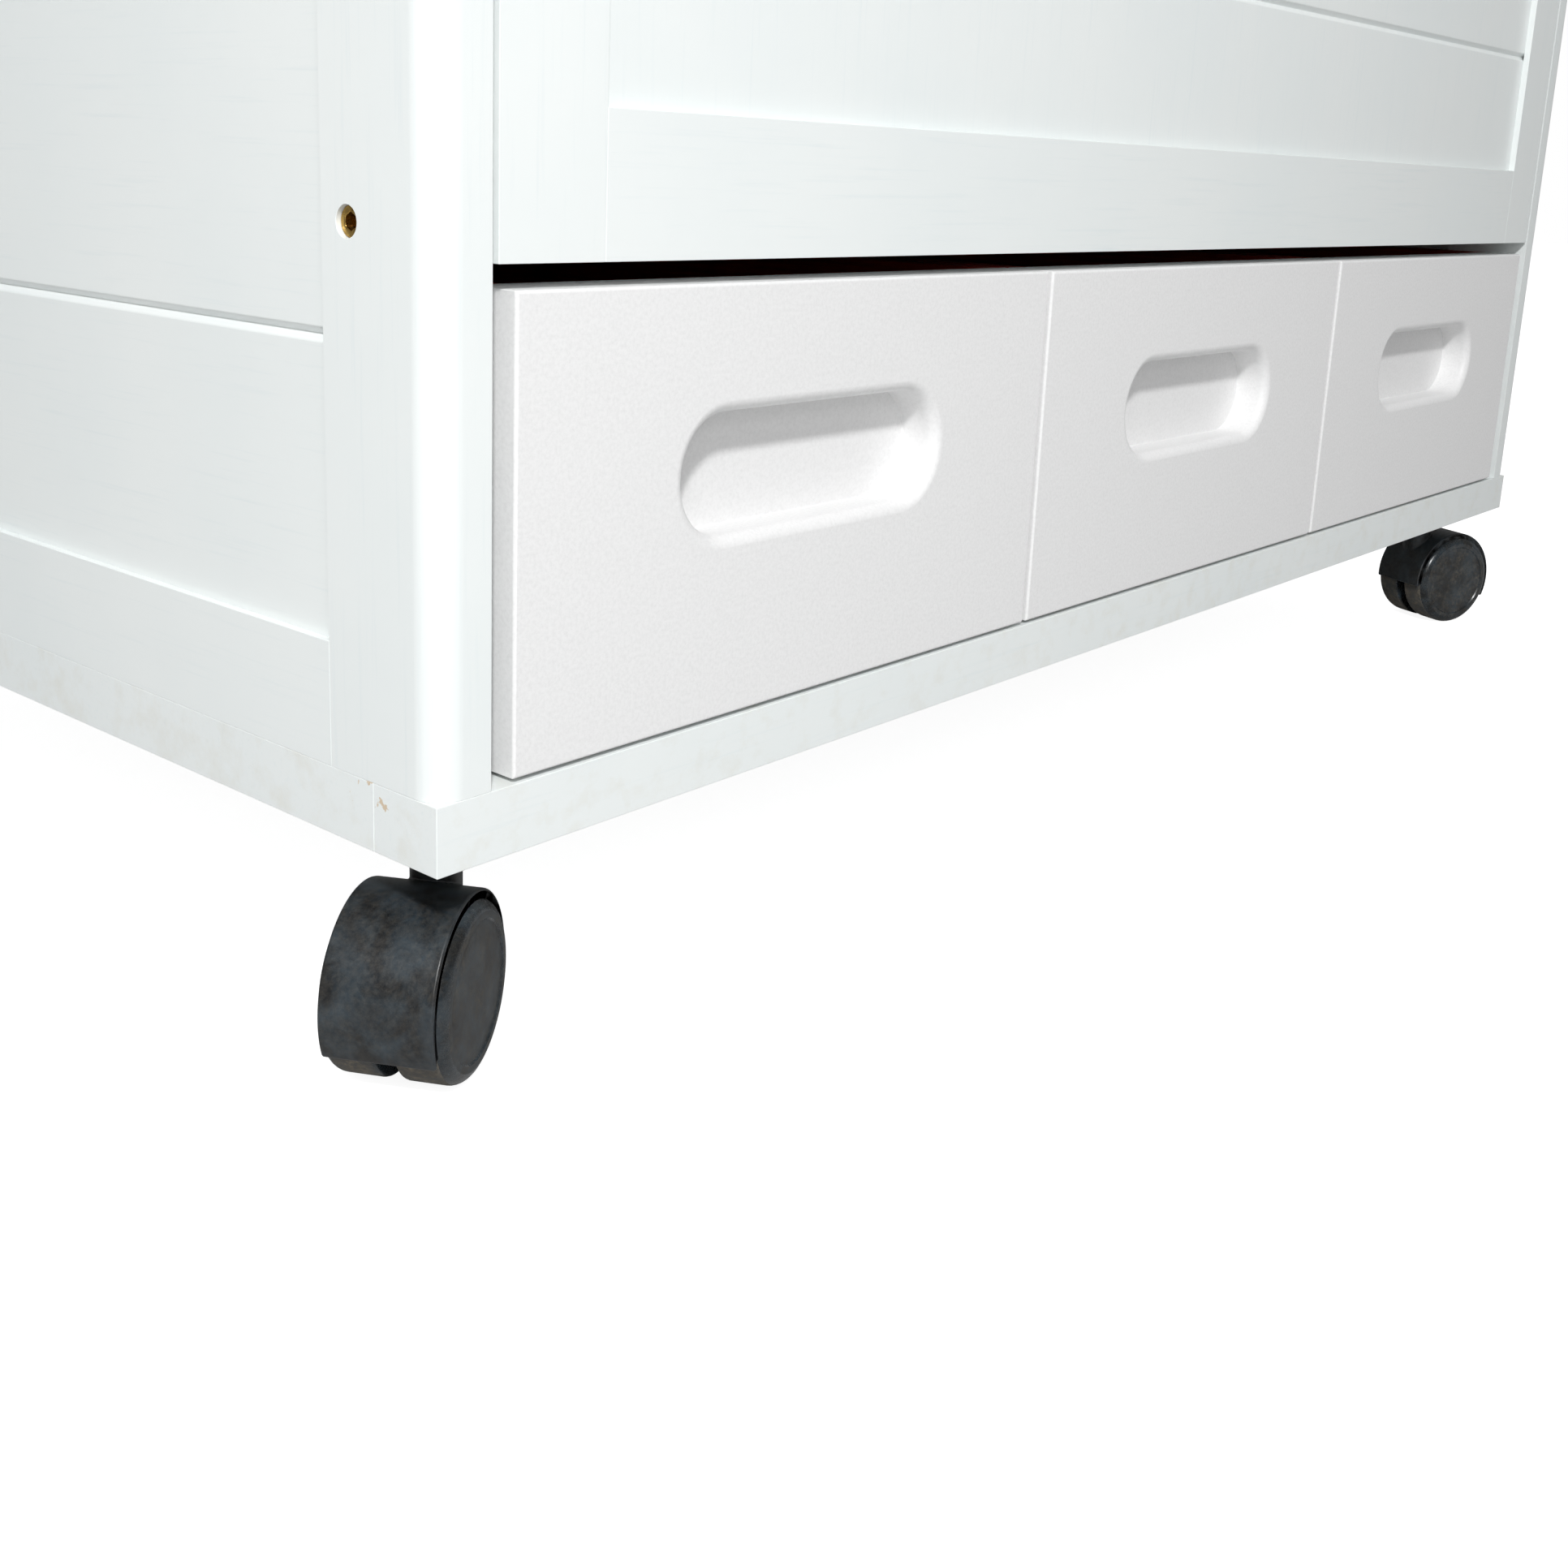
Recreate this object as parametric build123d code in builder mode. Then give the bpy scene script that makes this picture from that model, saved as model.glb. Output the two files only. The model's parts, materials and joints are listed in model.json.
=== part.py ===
"""Rolling sewing cabinet table: framed cabinet, swing door, flip-over leaf, bins and twin-wheel casters."""
import math
import os

from build123d import *

# Everything is in millimetres. The floor is Z = 0, the front faces -Y, and X and Y are 0 at the
# middle of the worktop.
cabinet_width = 620
cabinet_depth = 380
caster_height = 54
board_t = 15
frame_t = 14
side_height = 670
top_overhang = 15
top_front_overhang = 22
bay_height = 104
leaf_gap = 0.3
top_corner_r = 5
top_edge_r = 2

left_x = -cabinet_width / 2
right_x = cabinet_width / 2
inner_x = right_x - frame_t
front_y = -179
back_y = front_y + cabinet_depth
base_z = caster_height
base_top_z = base_z + board_t
side_top_z = base_top_z + side_height
top_z = side_top_z + board_t
leaf_z = top_z + leaf_gap
bay_top_z = base_top_z + bay_height
top_x = right_x + top_overhang
top_front_y = front_y - top_front_overhang

# Side frames: stiles, rails and a grooved panel held in a groove.
side_stile = 34
side_bottom_rail = 27
side_top_rail = 30
corner_r = 7
groove_depth = 4
panel_t = 8
panel_set_back = 2
v_width = 3
v_depth = 1.5
plank_pitch = 92
first_v_z = base_top_z + 89
v_heights = [first_v_z + plank_pitch * i for i in range(6)]

# Base: a front rail glued to the front edge of the board.
base_rail = 20

# Inner boards.
back_panel_in = 11
back_panel_y = back_y - back_panel_in
door_t = 16
behind_door = 2
shelf_front_y = front_y + door_t + behind_door
shelf_z = 430
shelf_play = 0.5
joint_in = 26
joint_front_y = front_y + joint_in
joint_back_y = back_y - joint_in
top_rail_height = 35
rail_bolt_z = side_top_z - top_rail_height / 2

# Connector bolts and barrel nuts.
bolt_head_r = 3.1
bolt_head = 5
bolt_sunk = 1
bolt_r = 2
bolt_length = 40
bolt_bore_length = 32
bore_play = 0.1
hex_socket_r = 1.9
hex_socket_depth = 3
nut_r = 4
nut_length = 10
nut_bore_depth = 12
nut_from_end = 24
nut_x = inner_x - nut_from_end

# Shelf pins.
pin_r = 2.5
pin_in_wood = 8
pin_out = 9

# Door.
door_gap = 1.5
door_x = inner_x - door_gap
door_z = bay_top_z + 1
door_top_z = side_top_z - 0.7
door_stile = 28
door_rail = 30
door_panel_t = 7
door_panel_set_back = 2.5
door_middle_z = (door_z + door_top_z) / 2
knob_z = door_middle_z
knob_length = 21
knob_screw_hole = 12
catch_z = knob_z + 138
catch_width = 14
catch_height = 40
catch_depth = 15.5
catch_play = 0.5
catch_plate_in = 1
catch_plate_width = 12
catch_plate_height = 32
catch_plate_t = 1
magnet_size = 10
magnet_spread = 7

# Butt hinges, shared by the door and the leaf.
plate_t = 1.2
knuckle_r = 3.0
hinge_pin_r = 1.2
pin_clearance = 0.05
knuckle_gap = 0.3
notch_r = 3.5
screw_r = 1.5
pilot_r = 1.6
screw_head_r = 2.7
hinge_screw_length = 11
screw_point = 2.5
mortise_play = 0.1
door_hinge_length = 50
door_plate_width = 17
door_hinge_spread = 142
door_hinge_z = [door_middle_z + i * door_hinge_spread for i in (-1, 0, 1)]
door_screw_spread = 15
door_screw_y = front_y + 9
door_axis_x = inner_x - door_gap / 2
door_axis_out = 2.6
door_axis_y = front_y - door_axis_out
pin_head = 0.8
leaf_hinge_length = 60
leaf_plate_width = 12
leaf_plate_start = 4
leaf_hinge_y = (-140, 0, 140)
leaf_screw_spread = 20
screw_line = 8.5
leaf_axis_x = top_x + 0.25
leaf_axis_z = top_z + leaf_gap / 2

# Drawers (loose bins).
drawer_width = 192
drawer_gap = 2
drawer_height = 99
drawer_front_t = 15
drawer_wall_t = 9
drawer_length = 344
drawer_bottom_t = 4
drawer_bottom_up = 2
drawer_under_gap = 1
drawer_slide_gap = 0.3
front_edge_r = 0.8
pull_width = 94
pull_height = 28
pull_depth = 11
pull_lip_r = 3
pull_above_middle = 7

# Casters.
wheel_r = 20
hood_r = 21.8
hood_inner_r = 20.6
hood_width = 30
web_t = 5
wheel_gap = 0.4
caster_trail = 12.5
caster_in_x = 22.5
caster_in_y = 28
plate_size = 37
plate_corner_r = 4
caster_plate_t = 2
plate_hole = 13
neck_r = 5.75
neck_length = 22
neck_gap = 0.5
king_pin_r = 3
king_pin_length = 10
hood_start = -24
hood_end = 185
web_boss_r = 5
shoulder = 3
tread_edge = 1
face_recess = 0.8
axle_r = 2
axle_half = 12
axle_end_gap = 0.3
caster_screw_length = 12
caster_head_r = 3.4
caster_head_t = 1.8
casters = {
    "front_left": (left_x + caster_in_x, front_y + caster_in_y, 210),
    "front_right": (right_x - caster_in_x, front_y + caster_in_y, 335),
    "back_left": (left_x + caster_in_x, back_y - caster_in_y, 165),
    "back_right": (right_x - caster_in_x, back_y - caster_in_y, 20),
}


def write(piece, name):
    """Labels a finished piece and writes its STEP file."""
    piece.part.label = name
    export_step(piece.part, f"parts/{name}.step")


def cut_box(x, y, z):
    """Removes a box between two limits along each axis from the piece being built."""
    with Locations(((x[0] + x[1]) / 2, (y[0] + y[1]) / 2, (z[0] + z[1]) / 2)):
        Box(x[1] - x[0], y[1] - y[0], z[1] - z[0], mode=Mode.SUBTRACT)


def add_box(x, y, z):
    """Adds a box between two limits along each axis to the piece being built."""
    with Locations(((x[0] + x[1]) / 2, (y[0] + y[1]) / 2, (z[0] + z[1]) / 2)):
        Box(x[1] - x[0], y[1] - y[0], z[1] - z[0])


def bore(plane, radius, depth, mode=Mode.SUBTRACT):
    """A round hole (or a rod) from the plane's origin against the plane's normal."""
    with BuildSketch(plane) as section:
        Circle(radius)
    extrude(section.sketch, amount=-depth, mode=mode)


def towards(side):
    """The plane normal that points out of the cabinet on one side: -1 is left and 1 is right."""
    return (side, 0, 0)


def cut_v_grooves(face_x, outwards, y, heights):
    """V-grooves across a panel's face that looks along X."""
    for z in heights:
        with BuildSketch(Plane.XZ.offset(-y[0])) as groove:
            with BuildLine():
                Polyline(
                    (face_x, z - v_width / 2),
                    (face_x - outwards * v_depth, z),
                    (face_x, z + v_width / 2),
                    close=True,
                )
            make_face()
        extrude(groove.sketch, amount=-(y[1] - y[0]), mode=Mode.SUBTRACT)


def cut_v_grooves_along_x(face_y, inwards, x, heights):
    """V-grooves across a panel's face that looks along Y."""
    for z in heights:
        with BuildSketch(Plane.YZ.offset(x[0])) as groove:
            with BuildLine():
                Polyline(
                    (face_y, z - v_width / 2),
                    (face_y + inwards * v_depth, z),
                    (face_y, z + v_width / 2),
                    close=True,
                )
            make_face()
        extrude(groove.sketch, amount=x[1] - x[0], mode=Mode.SUBTRACT)


# Base
caster_centres = [(x, y) for x, y, angle in casters.values()]
plate_corners = [
    (x + sx * plate_hole, y + sy * plate_hole)
    for x, y in caster_centres
    for sx in (-1, 1)
    for sy in (-1, 1)
]
pilot_top_z = base_z - caster_plate_t + caster_screw_length + neck_gap


def cut_caster_pilots(y):
    """Pilot holes for the caster screws whose centres lie between two depths."""
    for px, py in plate_corners:
        if y[0] < py < y[1]:
            bore(Plane((px, py, pilot_top_z), z_dir=(0, 0, 1)), pilot_r + 2 * bore_play, caster_screw_length)


with BuildPart() as base_front_rail:
    add_box((left_x, right_x), (front_y, front_y + base_rail), (base_z, base_top_z))
    cut_caster_pilots((front_y, front_y + base_rail))
write(base_front_rail, "base_front_rail")

with BuildPart() as base_board:
    add_box((left_x, right_x), (front_y + base_rail, back_y), (base_z, base_top_z))
    cut_caster_pilots((front_y + base_rail, back_y))
write(base_board, "base_board")

# Side frames
panel_groove_x = (right_x - panel_set_back - panel_t, right_x - panel_set_back)
front_stile_y = (front_y, front_y + side_stile)
back_stile_y = (back_y - side_stile, back_y)
side_z = (base_top_z, side_top_z)
bolt_heights = (bay_top_z + board_t / 2, rail_bolt_z)


def on_side(side, x):
    """Limits along X of the right side, mirrored to the left where side is -1."""
    return (x[0], x[1]) if side > 0 else (-x[1], -x[0])


def side_stile_piece(side, y, joint_y, groove_y, rounded_y):
    """One upright of a side frame, grooved for the panel, bored for bolts and shelf pins."""
    with BuildPart() as piece:
        add_box(on_side(side, (inner_x, right_x)), y, side_z)
        edges = piece.edges().filter_by(Axis.Z)
        outer = edges.filter_by(
            lambda e: abs(e.center().X - side * right_x) < 0.1 and abs(e.center().Y - rounded_y) < 0.1
        )
        fillet(outer, corner_r)
        cut_box(on_side(side, panel_groove_x), groove_y, side_z)
        for z in bolt_heights:
            outside = Plane((side * right_x, joint_y, z), z_dir=towards(side))
            bore(outside, bolt_r + bore_play, frame_t + 1)
            bore(outside, bolt_head_r + bore_play, bolt_head + bolt_sunk)
        inside = Plane((side * inner_x, joint_y, shelf_z - pin_r), z_dir=towards(-side))
        bore(inside, pin_r, pin_in_wood)
    return piece


def side_rails_piece(side):
    """The bottom and top rails of a side frame, with stub tenons in the stiles' grooves."""
    between = (front_stile_y[1], back_stile_y[0])
    tenons = (between[0] - groove_depth, between[1] + groove_depth)
    tongue = on_side(side, panel_groove_x)
    bottom = (base_top_z, base_top_z + side_bottom_rail)
    upper = (side_top_z - side_top_rail, side_top_z)
    with BuildPart() as piece:
        for z in (bottom, upper):
            add_box(on_side(side, (inner_x, right_x)), between, z)
            add_box(tongue, tenons, z)
        cut_box(tongue, tenons, (bottom[1] - groove_depth, bottom[1]))
        cut_box(tongue, tenons, (upper[0], upper[0] + groove_depth))
    return piece


def side_panel_piece(side):
    """The grooved panel of a side frame, its edges let into the frame all round."""
    y = (front_stile_y[1] - groove_depth, back_stile_y[0] + groove_depth)
    z = (base_top_z + side_bottom_rail - groove_depth, side_top_z - side_top_rail + groove_depth)
    with BuildPart() as piece:
        add_box(on_side(side, panel_groove_x), y, z)
        cut_v_grooves(side * panel_groove_x[1], side, y, v_heights)
    return piece


for side, side_name in ((-1, "left"), (1, "right")):
    front_groove = (front_stile_y[1] - groove_depth, front_stile_y[1])
    back_groove = (back_stile_y[0], back_stile_y[0] + groove_depth)
    front_stile = side_stile_piece(side, front_stile_y, joint_front_y, front_groove, front_y)
    if side > 0:
        with front_stile:
            for z in door_hinge_z:
                half = door_hinge_length / 2 + mortise_play
                cut_box(
                    (inner_x, inner_x + plate_t),
                    (front_y, front_y + door_plate_width + mortise_play),
                    (z - half, z + half),
                )
                with Locations((door_axis_x, door_axis_y, z)):
                    Cylinder(notch_r, 2 * half, mode=Mode.SUBTRACT)
                for dz in (-door_screw_spread, door_screw_spread):
                    plane = Plane((inner_x, door_screw_y, z + dz), z_dir=(-1, 0, 0))
                    bore(plane, pilot_r, hinge_screw_length)
    write(front_stile, f"{side_name}_front_stile")
    back_stile = side_stile_piece(side, back_stile_y, joint_back_y, back_groove, back_y)
    write(back_stile, f"{side_name}_back_stile")
    write(side_rails_piece(side), f"{side_name}_rails")
    write(side_panel_piece(side), f"{side_name}_panel")

# Back, shelves and top rails
with BuildPart() as back_panel:
    back_x = (-inner_x, inner_x)
    back_face_y = back_panel_y + panel_t
    add_box(back_x, (back_panel_y, back_face_y), side_z)
    cut_v_grooves_along_x(back_face_y, -1, back_x, v_heights)
write(back_panel, "back_panel")


def cut_board_end_bores(z, ys):
    """Bolt bores in both ends of a board or rail that spans the cabinet."""
    for side in (-1, 1):
        for y in ys:
            bore(Plane((side * inner_x, y, z), z_dir=towards(side)), bolt_r + bore_play, bolt_bore_length)


bay_nut_z = bay_top_z + 1
with BuildPart() as drawer_bay_top:
    add_box((-inner_x, inner_x), (shelf_front_y, back_panel_y), (bay_top_z, bay_top_z + board_t))
    cut_board_end_bores(bay_top_z + board_t / 2, (joint_front_y, joint_back_y))
    for side in (-1, 1):
        for y in (joint_front_y, joint_back_y):
            bore(Plane((side * nut_x, y, bay_nut_z + nut_length), z_dir=(0, 0, 1)), nut_r, nut_bore_depth)
write(drawer_bay_top, "drawer_bay_top")

with BuildPart() as middle_shelf:
    add_box(
        (-inner_x + shelf_play, inner_x - shelf_play),
        (shelf_front_y, back_panel_y - 2 * shelf_play),
        (shelf_z, shelf_z + board_t),
    )
write(middle_shelf, "middle_shelf")

rail_inner_y = (joint_front_y + board_t / 2, joint_back_y - board_t / 2)
rail_limits = (
    (joint_front_y - board_t / 2, joint_front_y + board_t / 2),
    (joint_back_y - board_t / 2, joint_back_y + board_t / 2),
)
with BuildPart() as top_rails:
    for y in rail_limits:
        add_box((-inner_x, inner_x), y, (side_top_z - top_rail_height, side_top_z))
    cut_board_end_bores(rail_bolt_z, (joint_front_y, joint_back_y))
    for side in (-1, 1):
        for y, away in ((rail_inner_y[0], 1), (rail_inner_y[1], -1)):
            bore(Plane((side * nut_x, y, rail_bolt_z), z_dir=(0, away, 0)), nut_r, nut_bore_depth)
write(top_rails, "top_rails")

# Connector bolts, nuts, shelf pins
with BuildPart() as connector_bolts:
    for side in (-1, 1):
        for y in (joint_front_y, joint_back_y):
            for z in bolt_heights:
                head = Plane((side * (right_x - bolt_sunk), y, z), z_dir=towards(side))
                bore(head, bolt_r, bolt_length, Mode.ADD)
                bore(head, bolt_head_r, bolt_head, Mode.ADD)
                with BuildSketch(head):
                    RegularPolygon(hex_socket_r, 6)
                extrude(amount=-hex_socket_depth, mode=Mode.SUBTRACT)
write(connector_bolts, "connector_bolts")

with BuildPart() as barrel_nuts:
    for side in (-1, 1):
        for y in (joint_front_y, joint_back_y):
            upright = Plane((side * nut_x, y, bay_nut_z + nut_length), z_dir=(0, 0, 1))
            bore(upright, nut_r, nut_length, Mode.ADD)
        for y, away in ((rail_inner_y[0] - 1, 1), (rail_inner_y[1] + 1, -1)):
            bore(Plane((side * nut_x, y, rail_bolt_z), z_dir=(0, away, 0)), nut_r, nut_length, Mode.ADD)
        for y in (joint_front_y, joint_back_y):
            for z in bolt_heights:
                thread = Plane((side * (nut_x + nut_r + 2), y, z), z_dir=towards(side))
                bore(thread, bolt_r, 3 * nut_r)
write(barrel_nuts, "barrel_nuts")

with BuildPart() as shelf_pins:
    for side in (-1, 1):
        for y in (joint_front_y, joint_back_y):
            deep = Plane((side * (inner_x + pin_in_wood), y, shelf_z - pin_r), z_dir=towards(side))
            bore(deep, pin_r, pin_in_wood + pin_out, Mode.ADD)
write(shelf_pins, "shelf_pins")


# Worktop, leaf and their hinges
def top_board(z, hinge_edge_z, faces_up):
    """A worktop board with rounded edges and hinge mortises in its right-hand edge."""
    with BuildPart() as piece:
        add_box((-top_x, top_x), (top_front_y, back_y), z)
        fillet(piece.edges().filter_by(Axis.Z), top_corner_r)
        fillet(piece.faces().filter_by(Axis.Z).edges(), top_edge_r)
        for y in leaf_hinge_y:
            half = leaf_hinge_length / 2 + mortise_play
            reach = leaf_plate_width + 1
            plate_z = (leaf_axis_z, leaf_axis_z + reach) if faces_up else (leaf_axis_z - reach, leaf_axis_z)
            cut_box((top_x - plate_t, top_x + 5), (y - half, y + half), plate_z)
            with Locations(Location((leaf_axis_x, y, leaf_axis_z), (90, 0, 0))):
                Cylinder(notch_r, 2 * half, mode=Mode.SUBTRACT)
            for dy in (-leaf_screw_spread, leaf_screw_spread):
                bore(Plane((top_x, y + dy, hinge_edge_z), z_dir=(1, 0, 0)), pilot_r, hinge_screw_length)
    return piece


write(top_board((side_top_z, top_z), leaf_axis_z - screw_line, False), "fixed_top")
write(top_board((leaf_z, leaf_z + board_t), leaf_axis_z + screw_line, True), "folding_leaf")


def leaf_hinge_plates(direction, knuckles):
    """Plates on one board's edge, above the axis or below it, with their own knuckles."""
    reach = (leaf_plate_start, leaf_plate_width)
    pitch = leaf_hinge_length / 5
    with BuildPart() as piece:
        for y in leaf_hinge_y:
            low = leaf_axis_z + min(direction * reach[0], direction * reach[1])
            high = leaf_axis_z + max(direction * reach[0], direction * reach[1])
            half = leaf_hinge_length / 2
            add_box((top_x - plate_t, top_x), (y - half, y + half), (low, high))
            for k in knuckles:
                start = y - half + k * pitch + knuckle_gap / 2
                end = start + pitch - knuckle_gap
                strap = sorted((leaf_axis_z, leaf_axis_z + direction * reach[0]))
                add_box((top_x - plate_t, top_x), (start, end), strap)
                knuckle = Plane((leaf_axis_x, end, leaf_axis_z), z_dir=(0, 1, 0))
                bore(knuckle, knuckle_r, end - start, Mode.ADD)
            bore(
                Plane((leaf_axis_x, y + half, leaf_axis_z), z_dir=(0, 1, 0)),
                hinge_pin_r + pin_clearance,
                leaf_hinge_length,
            )
            for dy in (-leaf_screw_spread, leaf_screw_spread):
                screw_z = leaf_axis_z + direction * screw_line
                with Locations(Plane((top_x, y + dy, screw_z), z_dir=(1, 0, 0))):
                    CounterSinkHole(pilot_r, screw_head_r, depth=plate_t)
    return piece


write(leaf_hinge_plates(-1, (0, 2, 4)), "top_hinge_fixed_plates")
write(leaf_hinge_plates(1, (1, 3)), "top_hinge_leaf_plates")


def door_hinge_plates(direction, knuckles):
    """Plates on the post (direction 1) or on the door's edge (-1), with their own knuckles."""
    face_x = inner_x if direction > 0 else door_x
    x = sorted((face_x, face_x + direction * plate_t))
    pitch = door_hinge_length / 5
    with BuildPart() as piece:
        for z in door_hinge_z:
            half = door_hinge_length / 2
            add_box(x, (front_y + 1, front_y + door_plate_width), (z - half, z + half))
            for k in knuckles:
                start = z - half + k * pitch + knuckle_gap / 2
                end = start + pitch - knuckle_gap
                add_box(x, (door_axis_y, front_y + 1), (start, end))
                knuckle = Plane((door_axis_x, door_axis_y, end), z_dir=(0, 0, 1))
                bore(knuckle, knuckle_r, end - start, Mode.ADD)
            bore(
                Plane((door_axis_x, door_axis_y, z + half), z_dir=(0, 0, 1)),
                hinge_pin_r + pin_clearance,
                door_hinge_length,
            )
            for dz in (-door_screw_spread, door_screw_spread):
                with Locations(Plane((face_x, door_screw_y, z + dz), z_dir=(-direction, 0, 0))):
                    CounterSinkHole(pilot_r, screw_head_r, depth=plate_t)
    return piece


write(door_hinge_plates(1, (0, 2, 4)), "door_hinge_post_plates")
write(door_hinge_plates(-1, (1, 3)), "door_hinge_door_plates")

with BuildPart() as hinge_pins:
    for z in door_hinge_z:
        top = Plane((door_axis_x, door_axis_y, z + door_hinge_length / 2 + pin_head), z_dir=(0, 0, 1))
        bore(top, hinge_pin_r, door_hinge_length + pin_head, Mode.ADD)
        bore(top, knuckle_r * 0.8, pin_head, Mode.ADD)
    for y in leaf_hinge_y:
        end = Plane((leaf_axis_x, y - leaf_hinge_length / 2, leaf_axis_z), z_dir=(0, -1, 0))
        bore(end, hinge_pin_r, leaf_hinge_length, Mode.ADD)
write(hinge_pins, "hinge_pins")


def add_screw(place, direction, length=hinge_screw_length):
    """A countersunk wood screw with its flat head in the plane at place, pointing against direction."""
    with BuildSketch(Plane(place, x_dir=side_of(direction), z_dir=normal_of(direction))) as half_section:
        with BuildLine():
            Polyline(
                (0, 0),
                (screw_head_r - bore_play, 0),
                (screw_r, -(screw_head_r - screw_r - bore_play)),
                (screw_r, -length + screw_point),
                (0, -length),
                close=True,
            )
        make_face()
    revolve(half_section.sketch, axis=Axis(place, direction))


def side_of(direction):
    """A unit vector square to the screw's direction."""
    return (0, 1, 0) if abs(direction[0]) > 0.5 else (1, 0, 0)


def normal_of(direction):
    """The normal that makes the sketch's second axis run along the screw's direction."""
    side = Vector(*side_of(direction))
    return side.cross(Vector(*direction))


with BuildPart() as cabinet_hinge_screws:
    for z in door_hinge_z:
        for dz in (-door_screw_spread, door_screw_spread):
            add_screw((inner_x, door_screw_y, z + dz), (-1, 0, 0))
    for y in leaf_hinge_y:
        for dy in (-leaf_screw_spread, leaf_screw_spread):
            add_screw((top_x, y + dy, leaf_axis_z - screw_line), (1, 0, 0))
write(cabinet_hinge_screws, "cabinet_hinge_screws")

with BuildPart() as leaf_hinge_screws:
    for y in leaf_hinge_y:
        for dy in (-leaf_screw_spread, leaf_screw_spread):
            add_screw((top_x, y + dy, leaf_axis_z + screw_line), (1, 0, 0))
write(leaf_hinge_screws, "leaf_hinge_screws")

# Door
door_y = (front_y, front_y + door_t)
door_tongue_y = (front_y + door_panel_set_back, front_y + door_panel_set_back + door_panel_t)
knob_x = -door_x + door_stile / 2
catch_plate_y = (front_y + door_t - catch_plate_t, front_y + door_t)
catch_x = (-inner_x, -inner_x + catch_width)
plate_x = (-door_x + catch_plate_in, -door_x + catch_plate_in + catch_plate_width)
plate_z = (catch_z - catch_plate_height / 2, catch_z + catch_plate_height / 2)
knob_screw_y = front_y + door_t

with BuildPart() as door_stiles:
    for x in ((-door_x, -door_x + door_stile), (door_x - door_stile, door_x)):
        add_box(x, door_y, (door_z, door_top_z))
    for x in (
        (-door_x + door_stile - groove_depth, -door_x + door_stile),
        (door_x - door_stile, door_x - door_stile + groove_depth),
    ):
        cut_box(x, door_tongue_y, (door_z, door_top_z))
    for z in door_hinge_z:
        half = door_hinge_length / 2 + mortise_play
        cut_box((door_x - plate_t, door_x), (front_y, front_y + door_plate_width), (z - half, z + half))
        with Locations((door_axis_x, door_axis_y, z)):
            Cylinder(notch_r, 2 * half, mode=Mode.SUBTRACT)
        for dz in (-door_screw_spread, door_screw_spread):
            bore(Plane((door_x, door_screw_y, z + dz), z_dir=(1, 0, 0)), pilot_r, hinge_screw_length)
    cut_box(plate_x, catch_plate_y, plate_z)
    bore(Plane((knob_x, knob_screw_y, knob_z), z_dir=(0, 1, 0)), pilot_r, door_t)
    bore(Plane((knob_x, knob_screw_y, knob_z), z_dir=(0, 1, 0)), screw_head_r + 2 * bore_play, 2)
write(door_stiles, "door_stiles")

with BuildPart() as door_rails:
    rail_x = (-door_x + door_stile, door_x - door_stile)
    tenon_x = (rail_x[0] - groove_depth, rail_x[1] + groove_depth)
    for z in ((door_z, door_z + door_rail), (door_top_z - door_rail, door_top_z)):
        add_box(rail_x, door_y, z)
        add_box(tenon_x, door_tongue_y, z)
    cut_box(tenon_x, door_tongue_y, (door_z + door_rail - groove_depth, door_z + door_rail))
    cut_box(tenon_x, door_tongue_y, (door_top_z - door_rail, door_top_z - door_rail + groove_depth))
write(door_rails, "door_rails")

with BuildPart() as door_panel:
    door_panel_z = (door_z + door_rail - groove_depth, door_top_z - door_rail + groove_depth)
    add_box(tenon_x, door_tongue_y, door_panel_z)
    cut_v_grooves_along_x(door_tongue_y[0], 1, tenon_x, v_heights[1:])
write(door_panel, "door_panel")

with BuildPart() as door_knob:
    with BuildSketch(Plane((knob_x, front_y, knob_z), x_dir=(1, 0, 0), z_dir=(0, 0, 1))):
        with BuildLine():
            Polyline((0, 0), (7, 0), (7, -2), (5, -4), (5, -9))
            Spline((5, -9), (12, -13.5), (11, -19), (0, -knob_length), tangents=((0.6, -1), (-1, 0)))
            Line((0, -knob_length), (0, 0))
        make_face()
    revolve(axis=Axis((knob_x, front_y, knob_z), (0, -1, 0)))
    bore(Plane((knob_x, front_y, knob_z), z_dir=(0, 1, 0)), pilot_r, knob_screw_hole)
write(door_knob, "door_knob")

with BuildPart() as catch_plate:
    add_box(plate_x, catch_plate_y, plate_z)
write(catch_plate, "catch_plate")

with BuildPart() as door_screws:
    for z in door_hinge_z:
        for dz in (-door_screw_spread, door_screw_spread):
            add_screw((door_x, door_screw_y, z + dz), (1, 0, 0))
    add_screw((knob_x, knob_screw_y - 2 * bore_play, knob_z), (0, 1, 0), door_t + knob_screw_hole - 2)
write(door_screws, "door_screws")

with BuildPart() as magnet_catch:
    catch_y = (front_y + door_t + catch_play, front_y + door_t + catch_play + catch_depth)
    add_box(catch_x, catch_y, (catch_z - catch_height / 2, catch_z + catch_height / 2))
    fillet(magnet_catch.edges().filter_by(Axis.Y), 1.5)
    for dz in (-magnet_spread, magnet_spread):
        cut_box(
            (catch_x[0] + 3, catch_x[1] - 3),
            (catch_y[0], catch_y[0] + 1),
            (catch_z + dz - magnet_size / 2, catch_z + dz + magnet_size / 2),
        )
write(magnet_catch, "magnet_catch")

# Drawers
first_drawer_x = -(3 * drawer_width + 2 * drawer_gap) / 2
front_z = (base_top_z + drawer_under_gap, base_top_z + drawer_under_gap + drawer_height)
drawer_z = (base_top_z + drawer_slide_gap, front_z[1])
bottom_z = (front_z[0] + drawer_bottom_up, front_z[0] + drawer_bottom_up + drawer_bottom_t)
wall_y = (front_y + drawer_front_t, front_y + drawer_length)
pull_z = (front_z[0] + front_z[1]) / 2 + pull_above_middle

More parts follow.
